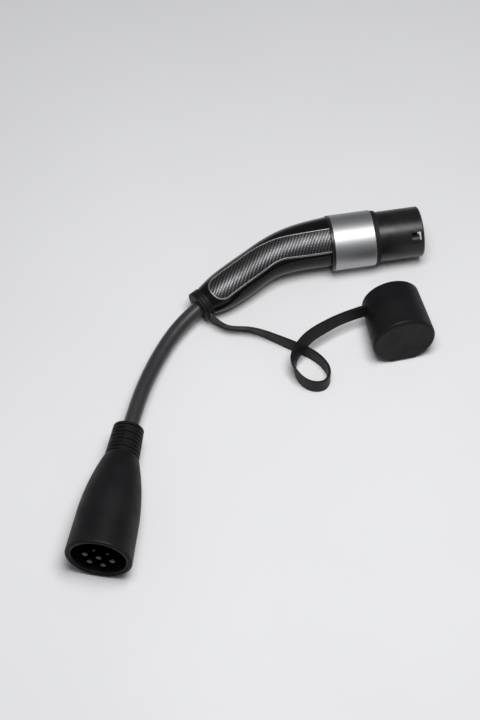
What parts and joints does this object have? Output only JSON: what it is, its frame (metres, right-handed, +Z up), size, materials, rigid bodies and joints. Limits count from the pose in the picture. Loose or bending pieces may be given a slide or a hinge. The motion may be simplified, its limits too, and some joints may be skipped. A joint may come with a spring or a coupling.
{
  "type": "electric vehicle charging adapter",
  "caption": "Charging adapter: bent-handle plug, short thick cable, flared coupler with recessed pins, and a rubber cap tethered to the neck by a looped strap.",
  "frame": {"origin": "middle of the floor area that the object covers without its cable, on the floor", "axes": "+X out of the plug's nose along its axis, +Z up, +Y away from the coupler and cap"},
  "size_m": [0.4296, 0.3824, 0.0681],
  "materials": {
    "black_plastic": "satin",
    "gloss_black": "gloss",
    "silver_grip": "fine diagonal pattern",
    "bright_trim": "bright",
    "satin_metal": "satin",
    "soft_rubber": "soft touch",
    "cable_sheath": "satin",
    "screw_steel": "plated",
    "contact_metal": "plated",
    "core_insulation": "smooth",
    "carrier_plastic": "matt"
  },
  "bodies": {
    "adapter": {"plug_shroud": "black_plastic", "silver_ring": "satin_metal", "front_gasket": "soft_rubber", "rear_ring": "black_plastic", "contact_carrier": "carrier_plastic", "carrier_back_plate": "carrier_plastic", "carrier_screws": "screw_steel", "earth_contact": "contact_metal", "power_contact_left": "contact_metal", "power_contact_right": "contact_metal", "power_contact_lower_left": "contact_metal", "power_contact_lower_right": "contact_metal", "signal_contact_left": "contact_metal", "signal_contact_right": "contact_metal", "handle_half_left": "gloss_black", "grip_panel_left": "silver_grip", "panel_trim_left": "bright_trim", "handle_half_right": "gloss_black", "grip_panel_right": "silver_grip", "panel_trim_right": "bright_trim", "housing_screws": "screw_steel", "neck_collar": "soft_rubber", "cord_clamp_upper": "carrier_plastic", "cord_clamp_lower": "carrier_plastic", "cord_clamp_screws": "screw_steel", "cable": "cable_sheath", "handle_cores": "core_insulation", "coupler_housing": "soft_rubber", "coupler_shell": "carrier_plastic", "pin_carrier": "carrier_plastic", "carrier_lock_ring": "carrier_plastic", "earth_pin": "contact_metal", "power_pin_left": "contact_metal", "power_pin_right": "contact_metal", "power_pin_lower_left": "contact_metal", "power_pin_lower_right": "contact_metal", "signal_pin_left": "contact_metal", "signal_pin_right": "contact_metal", "coupler_clamp_upper": "carrier_plastic", "coupler_clamp_lower": "carrier_plastic", "coupler_clamp_screws": "screw_steel", "coupler_cores": "core_insulation"},
    "tether": {"tethered_cap": "soft_rubber"}
  },
  "joints": [
    {"name": "tether_swivel", "type": "hinge", "parent": "adapter", "child": "tether", "pos_m": [-0.03407, 0.11146, 0.01979], "axis": [-0.8721, -0.4787, -0.1017], "continuous": true}
  ]
}
